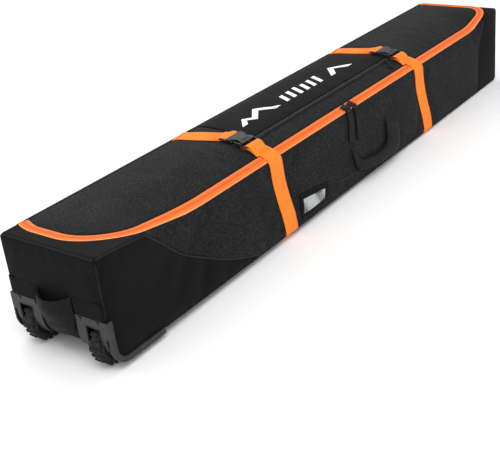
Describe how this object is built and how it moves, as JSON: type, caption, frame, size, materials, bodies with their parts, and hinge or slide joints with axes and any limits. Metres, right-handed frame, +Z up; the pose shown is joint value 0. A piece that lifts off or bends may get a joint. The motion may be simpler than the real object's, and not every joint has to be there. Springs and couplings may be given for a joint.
{
  "type": "rolling snowboard bag",
  "caption": "Long soft rolling snowboard bag: padded box body, zipped top lid, buckled straps, drooping grab handles and two wheels set in moulded corner brackets.",
  "frame": {"origin": "on the floor, under the middle of the bag", "axes": "+X along the bag from the wheel end to the far end, +Y towards the lid's hinge side, +Z up"},
  "size_m": [1.9739, 0.2932, 0.2689],
  "materials": {
    "heather": "matte",
    "plain_fabric": "matte",
    "zipper_tape_orange": "satin",
    "webbing_orange": "satin",
    "webbing_black": "matte",
    "bracket_plastic": "matte",
    "black_plastic": "satin",
    "tyre_rubber": "matte",
    "board": "matte",
    "steel": "satin",
    "clear_film": "gloss",
    "card": "matte"
  },
  "bodies": {
    "bag": {"side_right_wheel_end": "plain_fabric", "side_right_middle": "heather", "side_right_far": "plain_fabric", "side_left_panel": "heather", "wheel_end_panel": "plain_fabric", "wheel_end_board": "board", "far_end_panel": "plain_fabric", "base_panel": "plain_fabric", "base_stiffener": "board", "top_gusset_wheel_end": "plain_fabric", "top_gusset_far": "plain_fabric", "zipper_tape_body": "zipper_tape_orange", "strap_1_sling": "webbing_orange", "strap_2_sling": "webbing_orange", "side_handle_anchor_near": "webbing_black", "side_handle_anchor_far": "webbing_black", "end_handle_anchor_right": "webbing_black", "end_handle_anchor_left": "webbing_black", "id_window_frame": "webbing_black", "id_window_card": "card", "id_window_film": "clear_film", "wheel_bracket_right": "bracket_plastic", "wheel_well_right": "black_plastic", "axle_right": "steel", "bracket_screw_outer_right": "steel", "bracket_screw_inner_right": "steel", "wheel_bracket_left": "bracket_plastic", "wheel_well_left": "black_plastic", "axle_left": "steel", "bracket_screw_outer_left": "steel", "bracket_screw_inner_left": "steel"},
    "lid": {"lid_panel": "heather", "zipper_tape_lid": "zipper_tape_orange", "pocket_zipper_tape": "webbing_black", "pocket_lining": "plain_fabric", "strap_1_left_run": "webbing_orange", "strap_2_left_run": "webbing_orange", "buckle_1_male": "black_plastic", "buckle_2_male": "black_plastic"},
    "strap_flap_1": {"strap_1_right_run": "webbing_orange", "buckle_1_female": "black_plastic"},
    "strap_flap_2": {"strap_2_right_run": "webbing_orange", "buckle_2_female": "black_plastic"},
    "wheel_right": {"tyre_right": "tyre_rubber", "hub_right": "black_plastic", "bush_right": "board"},
    "wheel_left": {"tyre_left": "tyre_rubber", "hub_left": "black_plastic", "bush_left": "board"},
    "slider_near": {"main_slider_near": "black_plastic"},
    "slider_far": {"main_slider_far": "black_plastic"},
    "pull_near": {"main_pull_near": "webbing_black"},
    "pull_far": {"main_pull_far": "webbing_black"},
    "pocket_slider_body": {"pocket_slider": "black_plastic"},
    "pocket_pull_body": {"pocket_pull": "webbing_black"},
    "side_handle_loop": {"side_handle": "webbing_black"},
    "end_handle_loop": {"end_handle": "webbing_black"},
    "tow_handle_loop": {"tow_handle": "webbing_black"}
  },
  "joints": [
    {"name": "lid_hinge", "type": "hinge", "parent": "bag", "child": "lid", "pos_m": [0.00265, 0.137, 0.2567], "axis": [-0.9999, 0, 0.0108], "range_deg": [0, 120], "deforming": ["strap_1_right_run", "buckle_1_female", "strap_2_right_run", "buckle_2_female"]},
    {"name": "strap_flap_1_hinge", "type": "hinge", "parent": "bag", "child": "strap_flap_1", "pos_m": [-0.31992, -0.1232, 0.20567], "axis": [0.9999, 0, -0.0108], "range_deg": [0, 225]},
    {"name": "strap_flap_2_hinge", "type": "hinge", "parent": "bag", "child": "strap_flap_2", "pos_m": [0.42604, -0.1232, 0.19764], "axis": [0.9999, 0, -0.0108], "range_deg": [0, 225]},
    {"name": "wheel_right_spin", "type": "hinge", "parent": "bag", "child": "wheel_right", "pos_m": [-0.9096, -0.1, 0.052], "axis": [0, 1, 0], "continuous": true},
    {"name": "wheel_left_spin", "type": "hinge", "parent": "bag", "child": "wheel_left", "pos_m": [-0.9096, 0.1, 0.052], "axis": [0, 1, 0], "continuous": true},
    {"name": "slider_near_slide", "type": "slide", "parent": "bag", "child": "slider_near", "axis": [0.9999, 0, -0.0108], "range_m": [-0.28, 0]},
    {"name": "slider_far_slide", "type": "slide", "parent": "bag", "child": "slider_far", "axis": [0.9999, 0, -0.0108], "range_m": [0, 0.32]},
    {"name": "pull_near_swing", "type": "hinge", "parent": "slider_near", "child": "pull_near", "pos_m": [0.02532, -0.1147, 0.22565], "axis": [-0.9999, 0, 0.0108], "range_deg": [0, 110]},
    {"name": "pull_far_swing", "type": "hinge", "parent": "slider_far", "child": "pull_far", "pos_m": [0.05532, -0.1147, 0.22533], "axis": [-0.9999, 0, 0.0108], "range_deg": [0, 110]},
    {"name": "pocket_slider_slide", "type": "slide", "parent": "lid", "child": "pocket_slider_body", "axis": [0.9999, 0, -0.0108], "range_m": [-0.61, 0]},
    {"name": "pocket_pull_swing", "type": "hinge", "parent": "pocket_slider_body", "child": "pocket_pull_body", "pos_m": [0.36052, -0.0535, 0.24285], "axis": [-0.9999, 0, 0.0108], "range_deg": [0, 120]},
    {"name": "side_handle_swing", "type": "hinge", "parent": "bag", "child": "side_handle_loop", "pos_m": [0.13509, -0.1368, 0.11077], "axis": [-0.9999, 0, 0.0108], "range_deg": [0, 120]},
    {"name": "end_handle_swing", "type": "hinge", "parent": "bag", "child": "end_handle_loop", "pos_m": [-0.95178, 0, 0.16646], "axis": [0, 1, 0], "range_deg": [0, 80]},
    {"name": "tow_handle_swing", "type": "hinge", "parent": "bag", "child": "tow_handle_loop", "pos_m": [0.95356, 0, 0.14997], "axis": [0, -1, 0], "range_deg": [0, 80]}
  ],
  "couplings": [
    {"joint": "strap_flap_1_hinge", "follows": "lid_hinge", "ratio": 1.875},
    {"joint": "strap_flap_2_hinge", "follows": "lid_hinge", "ratio": 1.875}
  ]
}
